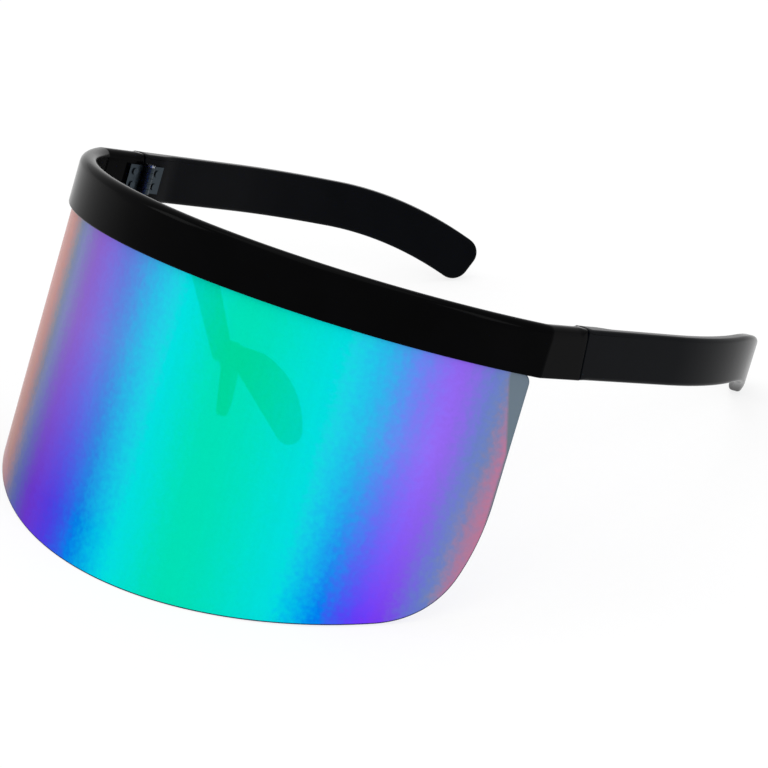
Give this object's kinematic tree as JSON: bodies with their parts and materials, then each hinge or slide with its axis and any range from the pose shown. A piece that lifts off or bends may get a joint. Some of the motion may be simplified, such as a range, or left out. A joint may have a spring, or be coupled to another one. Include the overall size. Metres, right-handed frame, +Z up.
{
  "type": "shield sunglasses",
  "caption": "Oversized flat-top visor sunglasses: a bent mirrored shield lens under a glossy brow bar, folding bowed temples on barrel hinges, and a winged nose piece behind the lens.",
  "frame": {"origin": "on the surface the open glasses stand on, under the middle of their bounding box", "axes": "+Z up, the lens faces -Y, the wearer's left is +X; the glasses stand on the lens's lower edge and the two temple tips"},
  "size_m": [0.145, 0.1954, 0.0815],
  "materials": {
    "bar_black": "polished moulded black",
    "temple_black": "polished moulded black",
    "nose_black": "satin moulded black",
    "lens_mirror": "mirror coated, teal through blue and violet to pink",
    "hinge_steel": "stamped, satin",
    "small_steel": "turned, bright"
  },
  "bodies": {
    "front": {"brow_bar": "bar_black", "shield_lens": "lens_mirror", "nose_bridge": "nose_black", "nose_bridge_screws": "small_steel", "left_front_hinge_leaf": "hinge_steel", "left_hinge_screw": "small_steel", "left_front_leaf_rivets": "small_steel", "right_front_hinge_leaf": "hinge_steel", "right_hinge_screw": "small_steel", "right_front_leaf_rivets": "small_steel"},
    "left_arm": {"left_temple": "temple_black", "left_temple_hinge_leaf": "hinge_steel", "left_temple_leaf_rivets": "small_steel"},
    "right_arm": {"right_temple": "temple_black", "right_temple_hinge_leaf": "hinge_steel", "right_temple_leaf_rivets": "small_steel"}
  },
  "joints": [
    {"name": "left_temple_fold", "type": "hinge", "parent": "front", "child": "left_arm", "pos_m": [0.0665, -0.01216, 0.05387], "axis": [0, 0.3607, 0.9327], "range_deg": [0, 94]},
    {"name": "right_temple_fold", "type": "hinge", "parent": "front", "child": "right_arm", "pos_m": [-0.0665, -0.01216, 0.05387], "axis": [0, -0.3607, -0.9327], "range_deg": [0, 76]}
  ]
}
